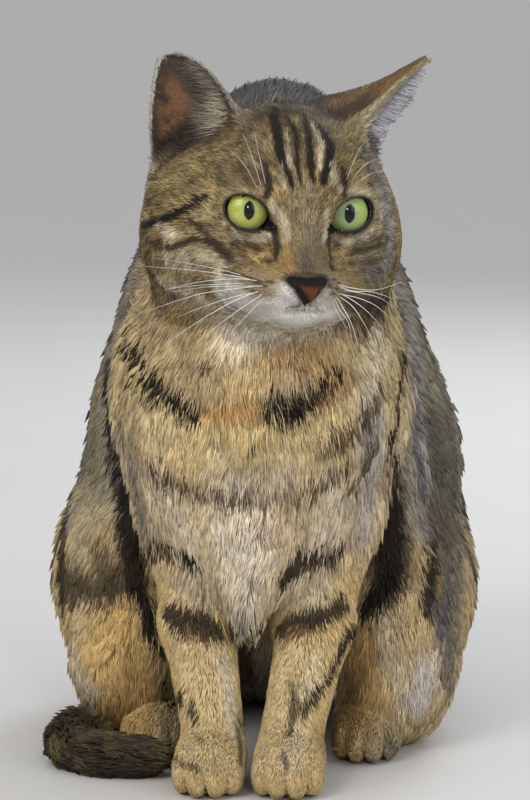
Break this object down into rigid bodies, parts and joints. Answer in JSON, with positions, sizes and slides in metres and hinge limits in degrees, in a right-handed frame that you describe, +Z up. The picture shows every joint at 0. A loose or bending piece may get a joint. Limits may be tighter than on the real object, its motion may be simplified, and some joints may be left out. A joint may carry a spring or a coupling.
{
  "type": "seated cat model",
  "caption": "Life-size still model of a seated short-haired tabby cat, head turned a little to its left, tail curled round its right side to the front paws.",
  "frame": {"origin": "on the floor, under the middle of the model's box", "axes": "+Z up from the floor to the ear tips, -Y the way the cat faces, +X the cat's left side"},
  "size_m": [0.2014, 0.2832, 0.3145],
  "materials": {
    "coat_golden_tabby": "matt fur, ticked golden tan with dark tabby stripes",
    "coat_grey_tabby": "matt fur, ticked grey-brown with dark tabby bands",
    "coat_dark": "matt fur, nearly black with olive-brown rings",
    "nose_leather": "damp satin skin, brick red with a black edge",
    "eye": "wet gloss, yellow-green iris with an upright dark pupil"
  },
  "bodies": {
    "root": {"head": "coat_golden_tabby", "nose": "nose_leather", "eye_left": "eye", "eye_right": "eye", "ear_left": "coat_golden_tabby", "ear_right": "coat_golden_tabby", "neck": "coat_grey_tabby", "trunk": "coat_grey_tabby", "foreleg_left": "coat_golden_tabby", "foreleg_right": "coat_golden_tabby", "forepaw_left": "coat_golden_tabby", "forepaw_right": "coat_golden_tabby", "thigh_left": "coat_golden_tabby", "thigh_right": "coat_golden_tabby", "hindfoot_left": "coat_golden_tabby", "hindfoot_right": "coat_golden_tabby", "tail_base": "coat_dark", "tail_middle": "coat_dark", "tail_tip": "coat_dark"}
  },
  "joints": []
}
